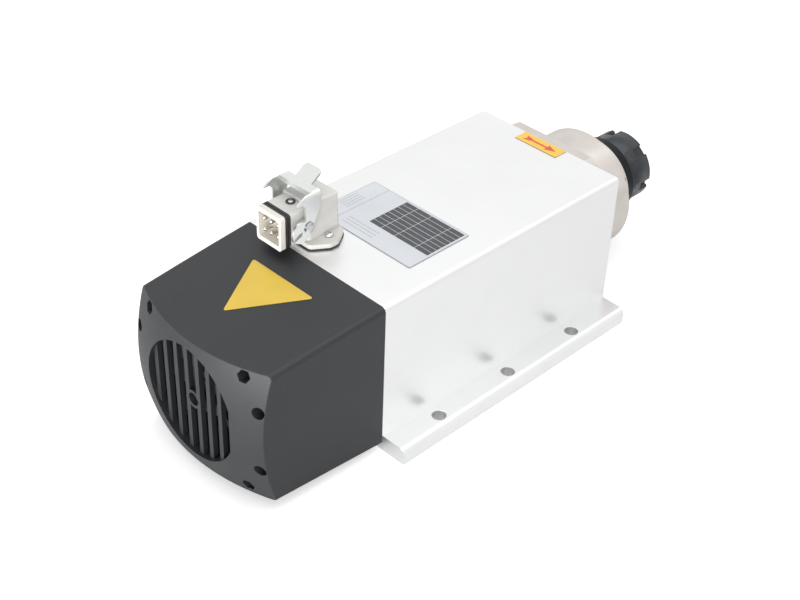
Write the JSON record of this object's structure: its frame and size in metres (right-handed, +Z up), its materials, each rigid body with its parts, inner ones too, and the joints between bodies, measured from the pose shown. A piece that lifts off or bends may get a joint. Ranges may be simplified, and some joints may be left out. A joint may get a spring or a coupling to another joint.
{
  "type": "motor spindle",
  "caption": "Air-cooled square motor spindle with foot flanges, rear fan cover, angled power connector and a collet nose for end mills.",
  "frame": {"origin": "centre of the six-hole foot bolt pattern, on the base plane", "axes": "+Y along the spindle axis to the collet nose, +Z up from the base, +X to the right seen from the fan end"},
  "size_m": [0.157, 0.3903, 0.1491],
  "materials": {
    "anodised_aluminium": "white satin anodised extrusion",
    "black_moulding": "fine-textured black moulding",
    "nickelled_steel": "warm satin nickel on turned steel",
    "black_oxide": "black oxide on turned steel",
    "ground_steel": "ground bright steel",
    "bearing_steel": "polished bearing steel",
    "zinc_screws": "zinc-plated",
    "black_screws": "black oxide fasteners",
    "laminations": "stacked electrical steel",
    "copper_windings": "varnished copper",
    "rotor_aluminium": "cast",
    "machined_aluminium": "turned",
    "spring_steel": "tempered",
    "fan_plastic": "glass-filled nylon",
    "diecast_grey": "powder-coated die casting",
    "insert_plastic": "off-white moulding",
    "pin_alloy": "plated contact pins",
    "seal_rubber": "black rubber",
    "lever_steel": "bright zinc-plated sheet",
    "nameplate_foil": "pale blue-grey foil with a blank ruled table",
    "orange_label": "orange-yellow film with a red two-way arrow",
    "yellow_label": "plain yellow film"
  },
  "bodies": {
    "motor_body": {"motor_housing": "anodised_aluminium", "stator_core": "laminations", "stator_windings": "copper_windings", "front_bearing_housing": "nickelled_steel", "front_housing_screws": "zinc_screws", "front_bearing_cap": "nickelled_steel", "cap_screws": "black_screws", "front_bearing_outer_rings": "bearing_steel", "outer_spacer": "ground_steel", "rear_end_shield": "machined_aluminium", "shield_screws": "zinc_screws", "rear_bearing_outer_ring": "bearing_steel", "wave_spring": "spring_steel", "fan_cover": "black_moulding", "cover_screws": "black_screws", "connector_gasket": "seal_rubber", "connector_housing": "diecast_grey", "connector_flange_screws": "zinc_screws", "connector_seal": "seal_rubber", "connector_insert": "insert_plastic", "connector_pins": "pin_alloy", "insert_screw": "zinc_screws", "insert_screw_o_ring": "seal_rubber", "lever_pins": "zinc_screws", "nameplate": "nameplate_foil", "arrow_label": "orange_label", "blank_triangle_sticker": "yellow_label"},
    "spindle": {"spindle_shaft": "ground_steel", "rotor_core": "laminations", "rotor_end_rings": "rotor_aluminium", "front_bearing_inner_rings": "bearing_steel", "inner_spacer": "ground_steel", "front_lock_nut": "black_screws", "rear_bearing_inner_ring": "bearing_steel", "rear_lock_nut": "black_screws", "slinger_ring": "black_oxide", "cooling_fan": "fan_plastic", "fan_retaining_screw": "zinc_screws"},
    "ball_rows": {"front_bearing_ball_rows": "bearing_steel", "rear_bearing_ball_row": "bearing_steel"},
    "collet": {"collet": "ground_steel"},
    "nut": {"collet_nut": "black_oxide"},
    "lever": {"locking_lever": "lever_steel"}
  },
  "joints": [
    {"name": "spindle_spin", "type": "hinge", "parent": "motor_body", "child": "spindle", "pos_m": [0, 0, 0.054], "axis": [0, 1, 0], "continuous": true},
    {"name": "ball_row_spin", "type": "hinge", "parent": "motor_body", "child": "ball_rows", "pos_m": [0, 0, 0.054], "axis": [0, 1, 0], "continuous": true},
    {"name": "collet_draw", "type": "slide", "parent": "spindle", "child": "collet", "axis": [0, 1, 0], "range_m": [0, 0.0045]},
    {"name": "nut_unscrew", "type": "hinge", "parent": "collet", "child": "nut", "pos_m": [0, 0.185, 0.054], "axis": [0, 1, 0], "range_deg": [0, 1080]},
    {"name": "lever_swing", "type": "hinge", "parent": "motor_body", "child": "lever", "pos_m": [-0.0262, -0.0936, 0.1213], "axis": [1, 0, 0], "range_deg": [-20, 50]}
  ],
  "couplings": [
    {"joint": "ball_row_spin", "follows": "spindle_spin", "ratio": 0.4},
    {"joint": "collet_draw", "follows": "nut_unscrew", "m_per_rad": 0.00023873}
  ]
}
